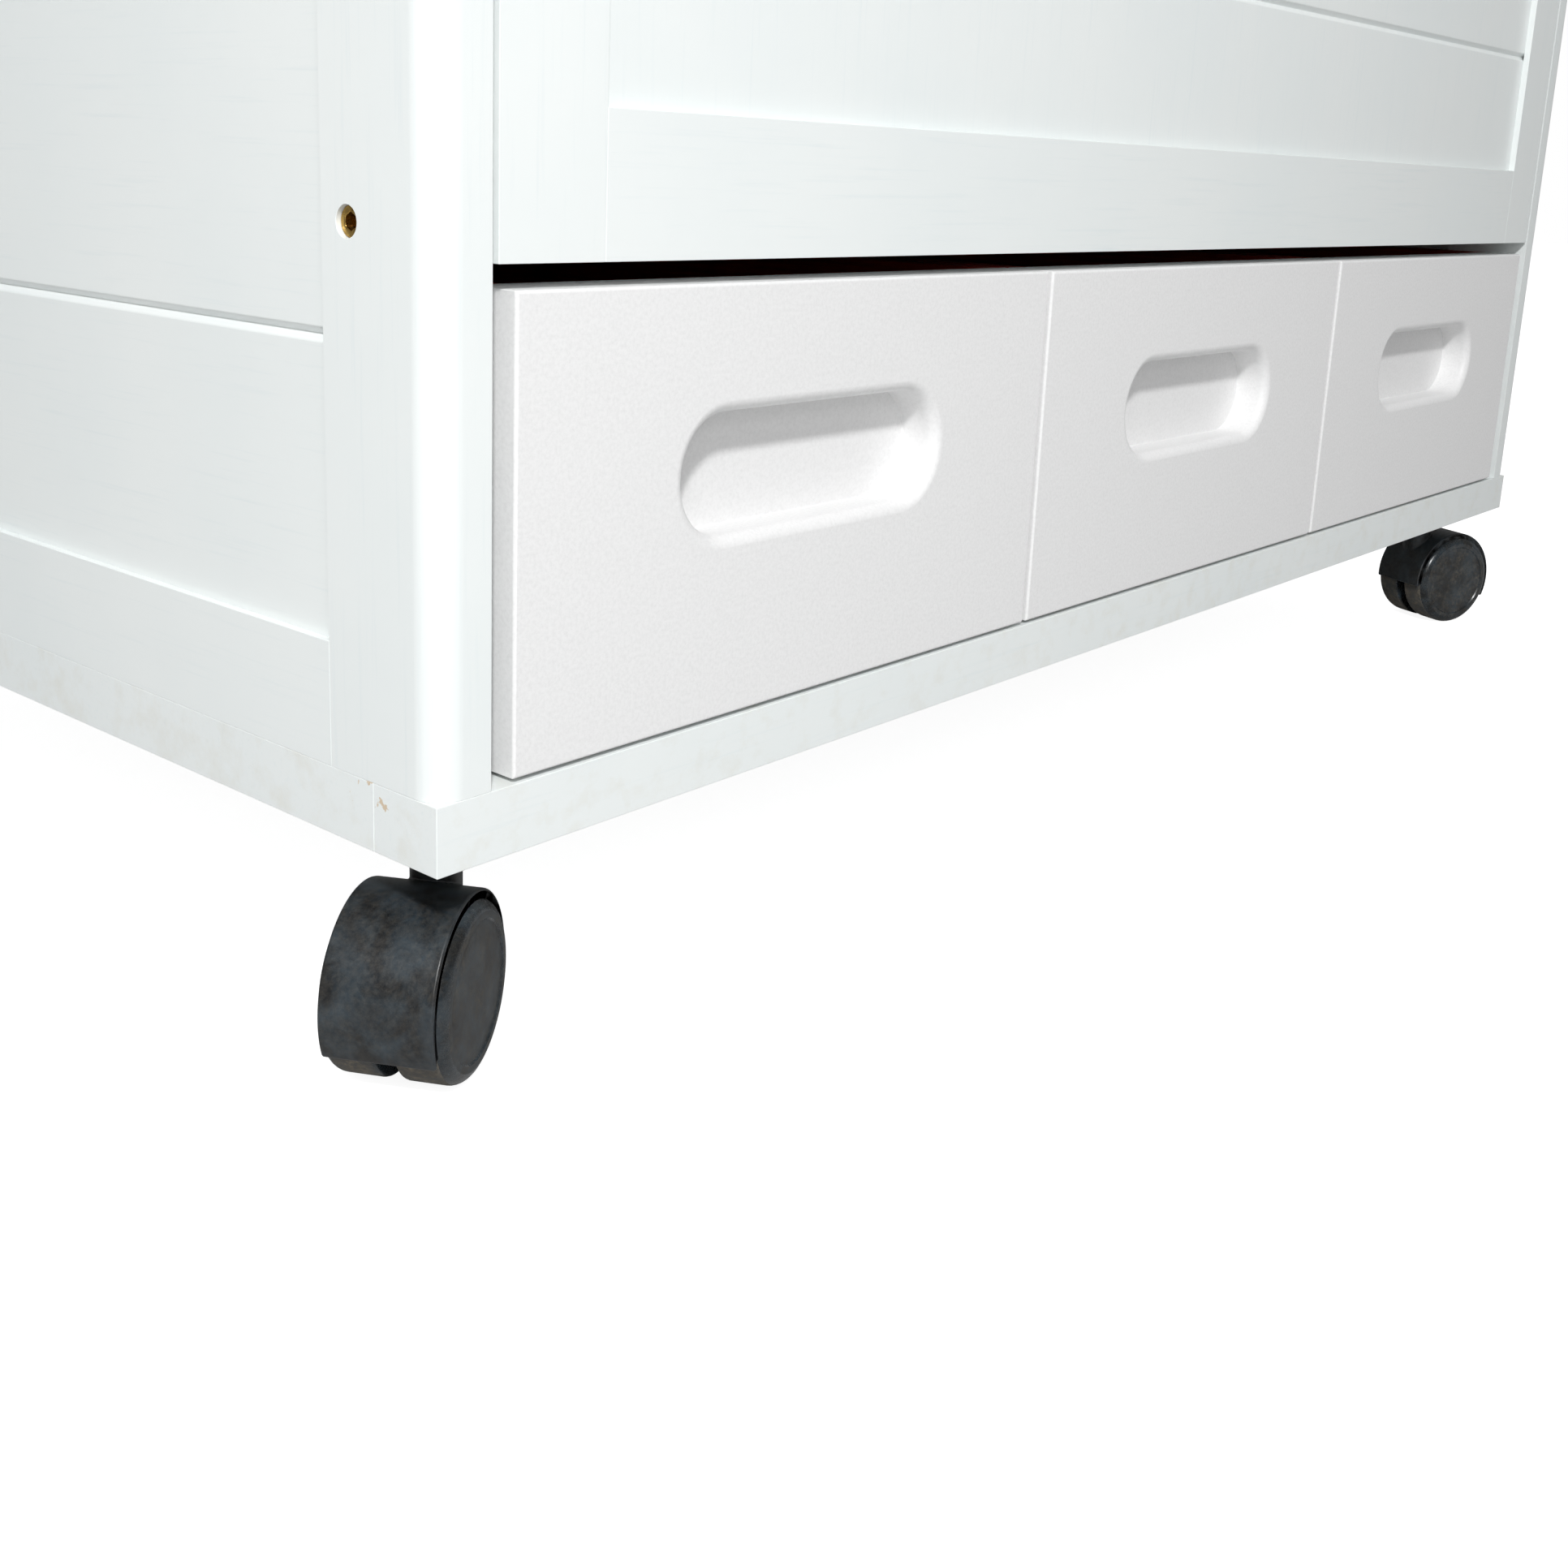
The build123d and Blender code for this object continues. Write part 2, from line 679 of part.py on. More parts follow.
for number in (1, 2, 3):
    low_x = first_drawer_x + (number - 1) * (drawer_width + drawer_gap)
    high_x = low_x + drawer_width
    inner = (low_x + drawer_wall_t, high_x - drawer_wall_t)

    with BuildPart() as drawer_front:
        add_box((low_x, high_x), (front_y, front_y + drawer_front_t), front_z)
        fillet(drawer_front.faces().sort_by(Axis.Y)[0].edges(), front_edge_r)
        pull_centre = ((low_x + high_x) / 2, front_y, pull_z)
        with BuildSketch(Plane(pull_centre, x_dir=(1, 0, 0), z_dir=(0, -1, 0))):
            SlotOverall(pull_width, pull_height)
        extrude(amount=-pull_depth, mode=Mode.SUBTRACT)
        lip = drawer_front.faces().sort_by(Axis.Y)[0].inner_wires()[0].edges()
        fillet(lip, pull_lip_r)
    write(drawer_front, f"drawer_{number}_front")

    with BuildPart() as drawer_walls:
        add_box((low_x, inner[0]), wall_y, drawer_z)
        add_box((inner[1], high_x), wall_y, drawer_z)
        add_box(inner, (wall_y[1] - drawer_wall_t, wall_y[1]), drawer_z)
    write(drawer_walls, f"drawer_{number}_walls")

    with BuildPart() as drawer_bottom:
        add_box(inner, (wall_y[0], wall_y[1] - drawer_wall_t), bottom_z)
    write(drawer_bottom, f"drawer_{number}_bottom")

# Casters
with BuildPart() as caster_plates:
    for x, y in caster_centres:
        with BuildSketch(Plane.XY.offset(base_z - caster_plate_t)):
            with Locations((x, y)):
                RectangleRounded(plate_size, plate_size, plate_corner_r)
                with GridLocations(2 * plate_hole, 2 * plate_hole, 2, 2):
                    Circle(screw_r + 4 * bore_play, mode=Mode.SUBTRACT)
        extrude(amount=caster_plate_t)
        king_pin = Plane((x, y, base_z - caster_plate_t), z_dir=(0, 0, 1))
        bore(king_pin, king_pin_r, king_pin_length, Mode.ADD)
write(caster_plates, "caster_plates")

with BuildPart() as caster_screws:
    head_z = base_z - caster_plate_t
    tip_z = head_z + caster_screw_length - neck_gap
    for px, py in plate_corners:
        bore(Plane((px, py, head_z), z_dir=(0, 0, 1)), caster_head_r, caster_head_t, Mode.ADD)
        bore(Plane((px, py, tip_z), z_dir=(0, 0, 1)), screw_r, tip_z - head_z, Mode.ADD)
write(caster_screws, "caster_screws")


def caster_plane(name):
    """Plane of a caster's middle section: x towards the trailing side, y up, normal along the axle."""
    x, y, angle = casters[name]
    trail = Vector(math.cos(math.radians(angle)), math.sin(math.radians(angle)), 0)
    origin = Vector(x, y, wheel_r) + trail * caster_trail
    return Plane(origin, x_dir=trail, z_dir=trail.cross(Vector(0, 0, 1)))


def hood_piece(name):
    """A twin-wheel caster's hood: a curved shell over both wheels, a middle web and the neck."""
    middle = caster_plane(name)
    swivel_x, swivel_y = casters[name][:2]
    neck_top = Plane((swivel_x, swivel_y, base_z - caster_plate_t - neck_gap), z_dir=(0, 0, 1))
    sweep_angle = hood_end - hood_start
    with BuildPart() as piece:
        bore(neck_top, neck_r, neck_length, Mode.ADD)
        for outwards in (1, -1):
            with BuildSketch(middle.offset(outwards * web_t / 2)):
                Circle(hood_inner_r)
            extrude(amount=outwards * hood_width, mode=Mode.SUBTRACT)
        with BuildSketch(middle):
            with BuildLine():
                outer = CenterArc((0, 0), hood_r, hood_start, sweep_angle)
                inner = CenterArc((0, 0), hood_inner_r, hood_start, sweep_angle)
                Line(outer @ 0, inner @ 0)
                Line(outer @ 1, inner @ 1)
            make_face()
        extrude(amount=hood_width / 2, both=True)
        with BuildSketch(middle):
            with BuildLine():
                rim = CenterArc((0, 0), hood_r - 0.5, hood_start, sweep_angle)
                Line(rim @ 0, (0, 0))
                Line(rim @ 1, (0, 0))
            make_face()
            Circle(web_boss_r)
        extrude(amount=web_t / 2, both=True)
        bore(neck_top, king_pin_r + pin_clearance, king_pin_length)
        bore(middle.offset(web_t), axle_r, 2 * web_t)
    return piece


def wheel_piece(name, outwards):
    """One wheel of a twin caster, with a rounded tread, a raised rim and a closed outer face."""
    middle = caster_plane(name)
    axle_direction = middle.z_dir * outwards
    inner_face = web_t / 2 + wheel_gap
    outer_face = hood_width / 2 - 0.5
    blind_end = axle_half + axle_end_gap
    bore_r = axle_r + pin_clearance
    with BuildPart() as piece:
        across = Plane(middle.origin, x_dir=axle_direction, z_dir=axle_direction.cross(Vector(0, 0, 1)))
        with BuildSketch(across):
            with BuildLine():
                Polyline(
                    (blind_end, 0),
                    (blind_end, bore_r),
                    (inner_face, bore_r),
                    (inner_face, wheel_r - tread_edge),
                    (inner_face + tread_edge, wheel_r),
                    (outer_face - shoulder, wheel_r),
                )
                CenterArc((outer_face - shoulder, wheel_r - shoulder), shoulder, 0, 90)
                Polyline(
                    (outer_face, wheel_r - shoulder),
                    (outer_face - face_recess, wheel_r - shoulder - face_recess),
                    (outer_face - face_recess, 0),
                    (blind_end, 0),
                )
            make_face()
        revolve(axis=Axis(middle.origin, axle_direction))
    return piece


for name in casters:
    write(hood_piece(name), f"{name}_caster_hood")
    with BuildPart() as axle:
        bore(caster_plane(name).offset(axle_half), axle_r, 2 * axle_half, Mode.ADD)
    write(axle, f"{name}_caster_axle")
    write(wheel_piece(name, 1), f"{name}_wheel_a")
    write(wheel_piece(name, -1), f"{name}_wheel_b")
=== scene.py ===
import json
import math
import bpy
from mathutils import Matrix, Vector


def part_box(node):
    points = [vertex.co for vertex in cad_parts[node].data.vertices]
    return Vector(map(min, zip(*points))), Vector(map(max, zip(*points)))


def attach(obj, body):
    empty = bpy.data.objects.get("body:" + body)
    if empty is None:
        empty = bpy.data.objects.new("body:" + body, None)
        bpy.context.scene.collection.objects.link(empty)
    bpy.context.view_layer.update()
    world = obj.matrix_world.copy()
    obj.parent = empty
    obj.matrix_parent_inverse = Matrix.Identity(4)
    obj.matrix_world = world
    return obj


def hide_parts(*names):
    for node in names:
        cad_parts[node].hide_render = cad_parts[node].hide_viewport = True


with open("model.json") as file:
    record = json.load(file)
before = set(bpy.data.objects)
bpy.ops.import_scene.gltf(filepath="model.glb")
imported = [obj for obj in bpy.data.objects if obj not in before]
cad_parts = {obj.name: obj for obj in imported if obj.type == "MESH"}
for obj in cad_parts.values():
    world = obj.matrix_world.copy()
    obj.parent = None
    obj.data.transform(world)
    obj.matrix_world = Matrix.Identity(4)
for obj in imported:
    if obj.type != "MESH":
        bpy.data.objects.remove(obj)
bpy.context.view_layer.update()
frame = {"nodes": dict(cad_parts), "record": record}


def hexToLinear(code):
    levels = [int(code[i:i + 2], 16) / 255 for i in (0, 2, 4)]
    linear = [v / 12.92 if v <= 0.04045 else ((v + 0.055) / 1.055) ** 2.4 for v in levels]
    return (*linear, 1.0)


def addNode(tree, kind, settings=None, links=None):
    # settings are the node's own or its inputs' values; links go from a socket or a node's first output
    node = tree.nodes.new(kind)
    for key, value in (settings or {}).items():
        if isinstance(key, int) or key in node.inputs:
            node.inputs[key].default_value = value
        else:
            setattr(node, key, value)
    for key, source in (links or {}).items():
        tree.links.new(source.outputs[0] if hasattr(source, "outputs") else source, node.inputs[key])
    return node


def newFinish(name):
    finish = bpy.data.materials.new(name)
    finish.use_nodes = True
    finish.node_tree.nodes.clear()
    return finish, finish.node_tree


whitePaint = {
    "body": "edf1f0",            # cool white, as mixed
    "shade": "e0e8e9",           # where the coat lies thin over the grain
    "dust": "d9d6c9",
    "chip": "c9a878",            # bare pine
    "roughness": 0.36,
    "peelMm": 1.7,
    "peelDepthMm": 0.012,
    "grainMm": 1.3,
    "grainStretch": 0.03,        # a grain line's width over its length
    "grainDepthMm": 0.012,
    "cloudMm": 60,
    "stainMm": 9,
    "speckMm": 6,
}


# where the base's rail and board meet at the left end, which takes the knocks
boardLow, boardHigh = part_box("base_board")
knockedCorner = Vector((boardLow.x, boardLow.y, boardHigh.z - 0.003))


def whitePaintOnPine(name, grainAxis, grime=0.0):
    # Satin alkyd paint sprayed on pine: an even soft sheen, a fine orange peel, and the wood's
    # long grain lines just readable through the coat.
    paint = whitePaint
    finish, tree = newFinish(name)
    where = addNode(tree, "ShaderNodeTexCoord").outputs["Object"]
    stretch = [1.0, 1.0, 1.0]
    stretch[grainAxis] = paint["grainStretch"]
    along = addNode(tree, "ShaderNodeMapping", {"Scale": stretch}, {"Vector": where})
    grain = addNode(tree, "ShaderNodeTexNoise", {"Scale": 1000 / paint["grainMm"], "Detail": 3.0,
                                                 "Roughness": 0.6}, {"Vector": along})
    cloud = addNode(tree, "ShaderNodeTexNoise", {"Scale": 1000 / paint["cloudMm"], "Detail": 3.0},
                    {"Vector": where})
    peel = addNode(tree, "ShaderNodeTexNoise", {"Scale": 1000 / paint["peelMm"], "Detail": 1.0},
                   {"Vector": where})
    body, shade = hexToLinear(paint["body"]), hexToLinear(paint["shade"])
    thin = addNode(tree, "ShaderNodeMapRange", {"From Min": 0.35, "From Max": 0.7, "To Max": 0.3},
                   {"Value": cloud})
    coat = addNode(tree, "ShaderNodeMix", {"data_type": "RGBA", 6: body, 7: shade}, {0: thin})
    lines = addNode(tree, "ShaderNodeMapRange", {"From Min": 0.56, "From Max": 0.78, "To Max": 0.45},
                    {"Value": grain})
    coat = addNode(tree, "ShaderNodeMix", {"data_type": "RGBA", 7: shade}, {0: lines, 6: coat.outputs[2]})
    if grime:
        # a handled edge: faint dust in the end grain, and the paint chipped to bare wood at one corner
        stain = addNode(tree, "ShaderNodeTexNoise", {"Scale": 1000 / paint["stainMm"], "Detail": 5.0,
                                                     "Roughness": 0.65}, {"Vector": where})
        soiled = addNode(tree, "ShaderNodeMapRange", {"From Min": 0.5, "From Max": 0.72, "To Max": grime},
                         {"Value": stain})
        coat = addNode(tree, "ShaderNodeMix", {"data_type": "RGBA", 7: hexToLinear(paint["dust"])},
                       {0: soiled, 6: coat.outputs[2]})
        speck = addNode(tree, "ShaderNodeTexNoise", {"Scale": 1000 / paint["speckMm"], "Detail": 4.0,
                                                     "Roughness": 0.7}, {"Vector": where})
        knock = addNode(tree, "ShaderNodeVectorMath", {"operation": "DISTANCE", 1: knockedCorner},
                        {0: where}).outputs["Value"]
        closeBy = addNode(tree, "ShaderNodeMapRange", {"From Min": 0.004, "From Max": 0.017,
                                                       "To Min": 0.08, "To Max": -0.2}, {"Value": knock})
        worn = addNode(tree, "ShaderNodeMath", {"operation": "ADD"}, {0: speck, 1: closeBy})
        chipped = addNode(tree, "ShaderNodeMapRange", {"From Min": 0.64, "From Max": 0.67, "To Max": 0.7},
                          {"Value": worn})
        coat = addNode(tree, "ShaderNodeMix", {"data_type": "RGBA", 7: hexToLinear(paint["chip"])},
                       {0: chipped, 6: coat.outputs[2]})
    sheen = addNode(tree, "ShaderNodeMapRange", {"From Min": 0.3, "From Max": 0.7,
                    "To Min": paint["roughness"] - 0.04, "To Max": paint["roughness"] + 0.07},
                    {"Value": cloud})
    ridges = addNode(tree, "ShaderNodeBump", {"Distance": paint["grainDepthMm"] / 1000}, {"Height": grain})
    skin = addNode(tree, "ShaderNodeBump", {"Distance": paint["peelDepthMm"] / 1000},
                   {"Height": peel, "Normal": ridges})
    shader = addNode(tree, "ShaderNodeBsdfPrincipled", {"IOR": 1.5},
                     {"Base Color": coat.outputs[2], "Roughness": sheen, "Normal": skin})
    addNode(tree, "ShaderNodeOutputMaterial", {}, {"Surface": shader})
    return finish


frontPaint = {"body": "ececec", "shade": "e2e2e2", "mottleMm": 0.9, "depthMm": 0.008}


def eggshellOnFronts():
    # Neutral white eggshell rolled on smooth board: no grain, a fine even mottle like paper.
    finish, tree = newFinish("eggshellRolledFront")
    where = addNode(tree, "ShaderNodeTexCoord").outputs["Object"]
    mottle = addNode(tree, "ShaderNodeTexNoise", {"Scale": 1000 / frontPaint["mottleMm"], "Detail": 4.0,
                                                  "Roughness": 0.65}, {"Vector": where})
    thin = addNode(tree, "ShaderNodeMapRange", {"From Min": 0.4, "From Max": 0.75}, {"Value": mottle})
    coat = addNode(tree, "ShaderNodeMix", {"data_type": "RGBA", 6: hexToLinear(frontPaint["body"]),
                                           7: hexToLinear(frontPaint["shade"])}, {0: thin})
    sheen = addNode(tree, "ShaderNodeMapRange", {"From Min": 0.3, "From Max": 0.7, "To Min": 0.42,
                                                 "To Max": 0.52}, {"Value": mottle})
    skin = addNode(tree, "ShaderNodeBump", {"Distance": frontPaint["depthMm"] / 1000}, {"Height": mottle})
    shader = addNode(tree, "ShaderNodeBsdfPrincipled", {"IOR": 1.5},
                     {"Base Color": coat.outputs[2], "Roughness": sheen, "Normal": skin})
    addNode(tree, "ShaderNodeOutputMaterial", {}, {"Surface": shader})
    return finish


drawerRed = {"deep": "8e2012", "bright": "b4301c", "grainMm": 2.2, "grainStretch": 0.05, "depthMm": 0.05}


def redLacquerOnPine():
    # Red lacquer brushed on thin pine: saturated, a little darker where it pools along the grain.
    finish, tree = newFinish("redLacquerOnPine")
    where = addNode(tree, "ShaderNodeTexCoord").outputs["Object"]
    along = addNode(tree, "ShaderNodeMapping", {"Scale": (1, drawerRed["grainStretch"], 1)},
                    {"Vector": where})
    grain = addNode(tree, "ShaderNodeTexNoise", {"Scale": 1000 / drawerRed["grainMm"], "Detail": 4.0,
                                                 "Roughness": 0.6}, {"Vector": along})
    pooled = addNode(tree, "ShaderNodeMapRange", {"From Min": 0.35, "From Max": 0.7}, {"Value": grain})
    coat = addNode(tree, "ShaderNodeMix", {"data_type": "RGBA", 6: hexToLinear(drawerRed["bright"]),
                                           7: hexToLinear(drawerRed["deep"])}, {0: pooled})
    sheen = addNode(tree, "ShaderNodeMapRange", {"From Min": 0.3, "From Max": 0.7, "To Min": 0.36,
                                                 "To Max": 0.5}, {"Value": grain})
    skin = addNode(tree, "ShaderNodeBump", {"Distance": drawerRed["depthMm"] / 1000}, {"Height": grain})
    shader = addNode(tree, "ShaderNodeBsdfPrincipled", {"IOR": 1.5},
                     {"Base Color": coat.outputs[2], "Roughness": sheen, "Normal": skin})
    addNode(tree, "ShaderNodeOutputMaterial", {}, {"Surface": shader})
    return finish


# the bluish tone is partly the nylon's bloom and partly a painted sheen of the sky
nylon = {"bloom": "37444d", "dust": "7a7265", "cloudMm": 9, "specksMm": 1.3, "patchMm": 5,
         "textureMm": 0.7, "textureDepthMm": 0.012}


def mouldedNylon(name, skinHex, roughness, dustiness):
    # Black nylon, injection moulded: a satin skin with a cloudy bluish tone, partly bloom and partly a
    # painted sheen, and dull dust that gathers in patches and breaks up the gloss.
    finish, tree = newFinish(name)
    where = addNode(tree, "ShaderNodeTexCoord").outputs["Object"]
    cloud = addNode(tree, "ShaderNodeTexNoise", {"Scale": 1000 / nylon["cloudMm"], "Detail": 4.0,
                                                 "Roughness": 0.62, "Distortion": 0.4}, {"Vector": where})
    specks = addNode(tree, "ShaderNodeTexNoise", {"Scale": 1000 / nylon["specksMm"], "Detail": 4.0,
                                                  "Roughness": 0.7}, {"Vector": where})
    patch = addNode(tree, "ShaderNodeTexNoise", {"Scale": 1000 / nylon["patchMm"], "Detail": 6.0,
                                                 "Roughness": 0.7, "Distortion": 0.8}, {"Vector": where})
    # cloudy bluish patches mixed into the colour: part bloom, part painted sheen standing in for the sky's
    # reflection
    bloomAndSheenAmount = addNode(tree, "ShaderNodeMapRange", {"From Min": 0.38, "From Max": 0.72, "To Min": 0.05,
                                                   "To Max": 0.75}, {"Value": cloud})
    tone = addNode(tree, "ShaderNodeMix", {"data_type": "RGBA", 6: hexToLinear(skinHex),
                                           7: hexToLinear(nylon["bloom"])}, {0: bloomAndSheenAmount})
    patches = addNode(tree, "ShaderNodeMapRange", {"From Min": 0.42, "From Max": 0.75, "To Min": 0.1,
                                                   "To Max": dustiness}, {"Value": patch})
    grains = addNode(tree, "ShaderNodeMapRange", {"From Min": 0.35, "From Max": 0.7}, {"Value": specks})
    dusty = addNode(tree, "ShaderNodeMath", {"operation": "MULTIPLY"}, {0: patches, 1: grains})
    tone = addNode(tree, "ShaderNodeMix", {"data_type": "RGBA", 7: hexToLinear(nylon["dust"])},
                   {0: dusty, 6: tone.outputs[2]})
    sheen = addNode(tree, "ShaderNodeMapRange", {"From Max": 0.6, "To Min": roughness, "To Max": 0.85},
                    {"Value": dusty})
    texture = addNode(tree, "ShaderNodeTexNoise", {"Scale": 1000 / nylon["textureMm"]}, {"Vector": where})
    skin = addNode(tree, "ShaderNodeBump", {"Distance": nylon["textureDepthMm"] / 1000},
                   {"Height": texture})
    shader = addNode(tree, "ShaderNodeBsdfPrincipled", {"IOR": 1.53},
                     {"Base Color": tone.outputs[2], "Roughness": sheen, "Normal": skin})
    addNode(tree, "ShaderNodeOutputMaterial", {}, {"Surface": shader})
    return finish


plating = {"scuffMm": 0.5, "scuffStretch": 0.15, "scuffDepthMm": 0.006}


def platedMetal(name, brightHex, dullHex, roughness, spangleMm):
    # Plated pressed steel: a soft metallic sheen with faint cloudy spangle and fine rubbing marks.
    finish, tree = newFinish(name)
    where = addNode(tree, "ShaderNodeTexCoord").outputs["Object"]
    spangle = addNode(tree, "ShaderNodeTexNoise", {"Scale": 1000 / spangleMm, "Detail": 4.0,
                                                   "Roughness": 0.6}, {"Vector": where})
    clouded = addNode(tree, "ShaderNodeMapRange", {"From Min": 0.35, "From Max": 0.7}, {"Value": spangle})
    tone = addNode(tree, "ShaderNodeMix", {"data_type": "RGBA", 6: hexToLinear(brightHex),
                                           7: hexToLinear(dullHex)}, {0: clouded})
    rubbed = addNode(tree, "ShaderNodeMapping", {"Scale": (1, plating["scuffStretch"], 1)},
                     {"Vector": where})
    scuff = addNode(tree, "ShaderNodeTexNoise", {"Scale": 1000 / plating["scuffMm"], "Detail": 3.0},
                    {"Vector": rubbed})
    sheen = addNode(tree, "ShaderNodeMapRange", {"From Min": 0.3, "From Max": 0.75,
                    "To Min": roughness - 0.08, "To Max": roughness + 0.14}, {"Value": scuff})
    skin = addNode(tree, "ShaderNodeBump", {"Distance": plating["scuffDepthMm"] / 1000},
                   {"Height": scuff})
    shader = addNode(tree, "ShaderNodeBsdfPrincipled", {"Metallic": 1.0},
                     {"Base Color": tone.outputs[2], "Roughness": sheen, "Normal": skin})
    addNode(tree, "ShaderNodeOutputMaterial", {}, {"Surface": shader})
    return finish


finishes = {
    "whiteUpright": whitePaintOnPine("satinPaintGrainUpright", 2),
    "whiteAcross": whitePaintOnPine("satinPaintGrainAcross", 0),
    "whiteDeep": whitePaintOnPine("satinPaintGrainDeep", 1),
    "whiteBase": whitePaintOnPine("satinPaintBaseEdge", 0, 0.3),
    "drawerWhite": eggshellOnFronts(),
    "red": redLacquerOnPine(),
    "hood": mouldedNylon("mouldedNylonHood", "070708", 0.36, 0.2),
    "wheelFace": mouldedNylon("mouldedNylonWheelFace", "161514", 0.5, 0.6),
    "wheelShoulder": mouldedNylon("rubbedNylonShoulder", "08090a", 0.22, 0.08),
    "wheelTread": mouldedNylon("dustyNylonTread", "4f4a42", 0.65, 2.2),
    "catch": mouldedNylon("mouldedNylonCatch", "0e0f11", 0.42, 0.15),
    "zinc": platedMetal("zincPlatedSteel", "c3c6c8", "a4a8ac", 0.34, 4),
    "brass": platedMetal("brassPlatedSteel", "cdab62", "9d7c3f", 0.28, 1.5),
    "magnet": platedMetal("nickelPlatedSteel", "b7b6b2", "8f8e8b", 0.26, 3),
}
print("finishes made:", len(finishes))


def onlySelected(piece):
    bpy.ops.object.select_all(action="DESELECT")
    piece.select_set(True)
    bpy.context.view_layer.objects.active = piece


welding = {"gap": 0.000004, "flatDegrees": 0.4}


def mergedCopy(node, name):
    # a node's mesh is loose triangles, so the copy is welded and its flat faces are joined up
    piece = bpy.data.objects.new(name, frame["nodes"][node].data.copy())
    bpy.context.scene.collection.objects.link(piece)
    onlySelected(piece)
    bpy.ops.object.mode_set(mode="EDIT")
    bpy.ops.mesh.select_all(action="SELECT")
    bpy.ops.mesh.remove_doubles(threshold=welding["gap"])
    bpy.ops.mesh.dissolve_limited(angle_limit=math.radians(welding["flatDegrees"]))
    bpy.ops.object.mode_set(mode="OBJECT")
    return piece


def applyModifiers(piece):
    onlySelected(piece)
    for modifier in list(piece.modifiers):
        bpy.ops.object.modifier_apply(modifier=modifier.name)


easing = {"segments": 3, "sharpDegrees": 35}


def easeEdges(piece, widthMm):
    onlySelected(piece)
    bevel = piece.modifiers.new("easedEdges", "BEVEL")
    bevel.width = widthMm / 1000
    bevel.segments = easing["segments"]
    bevel.limit_method = "ANGLE"
    bevel.angle_limit = math.radians(easing["sharpDegrees"])
    bevel.use_clamp_overlap = False
    applyModifiers(piece)
    bpy.ops.object.shade_smooth_by_angle(angle=math.radians(easing["sharpDegrees"]))
    piece.modifiers.new("evenShading", "WEIGHTED_NORMAL").keep_sharp = True
    applyModifiers(piece)


def joinFrame(piece, body, slot, *nodes):
    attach(piece, body)
    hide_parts(*nodes)


bodyOf = {node: body for body, group in frame["record"]["behaviour"]["bodies"].items() for node in group}
slotOf = {part["node"]: part["material_slot"] for part in frame["record"]["subparts"]}


def camelName(node):
    words = node.split("_")
    return words[0] + "".join(word.capitalize() for word in words[1:])


# which finish each board and fitting takes, and how much its edges are eased, in mm
boards = {
    "whiteUpright": (0.15, ["left_front_stile", "left_back_stile", "right_front_stile", "right_back_stile",
                           "door_stiles"]),
    "whiteAcross": (0.15, ["door_rails", "top_rails", "drawer_bay_top", "middle_shelf"]),
    "whiteDeep": (0.15, ["left_rails", "right_rails"]),
    "whiteBase": (0.2, ["base_board", "base_front_rail"]),
    "drawerWhite": (0.25, ["drawer_1_front", "drawer_2_front", "drawer_3_front"]),
    "red": (0.3, [f"drawer_{i}_{part}" for i in (1, 2, 3) for part in ("walls", "bottom")]),
}
panels = {
    "whiteUpright": (0.3, ["door_panel", "back_panel"]),
    "whiteDeep": (0.3, ["left_panel", "right_panel"]),
}
casterNames = ["front_left", "front_right", "back_left", "back_right"]
fittings = {
    "whiteUpright": (0.5, ["door_knob"]),
    "brass": (0.25, ["connector_bolts"]),
    "zinc": (0.2, ["barrel_nuts", "shelf_pins", "caster_plates", "caster_screws", "door_hinge_post_plates",
                   "door_hinge_door_plates", "top_hinge_fixed_plates", "top_hinge_leaf_plates", "hinge_pins",
                   "cabinet_hinge_screws", "leaf_hinge_screws", "door_screws"]
             + [f"{name}_caster_axle" for name in casterNames]),
    "magnet": (0.2, ["catch_plate"]),
    "catch": (0.5, ["magnet_catch"]),
}
for node in ("fixed_top", "folding_leaf"):
    # the tops' hinge recesses run out at their ends, so these two keep their own crisp edges
    surface = frame["nodes"][node].data
    surface.materials.clear()
    surface.materials.append(finishes["whiteAcross"])
for group in (boards, panels, fittings):
    for finish, (widthMm, nodes) in group.items():
        for node in nodes:
            piece = mergedCopy(node, camelName(node))
            easeEdges(piece, widthMm)
            piece.data.materials.clear()
            piece.data.materials.append(finishes[finish])
            joinFrame(piece, bodyOf[node], slotOf[node], node)
print("boards and fittings eased and painted")


casterWheel = {
    "segments": 96,
    "shoulder": 0.0034,          # the round that turns the tread into the outer face
    "shoulderSteps": 8,
    "treadEase": 0.0009,         # the small round on the inner side
    "treadSteps": 3,
    "ringWidth": 0.0009,
    "dishDepth": 0.0004,
    "domeWidth": 0.0012,
    "treadSlope": 0.35,          # a face leaning out less than this is tread, and more than faceSlope is face
    "faceSlope": 0.97,
    "smoothDegrees": 40,
}


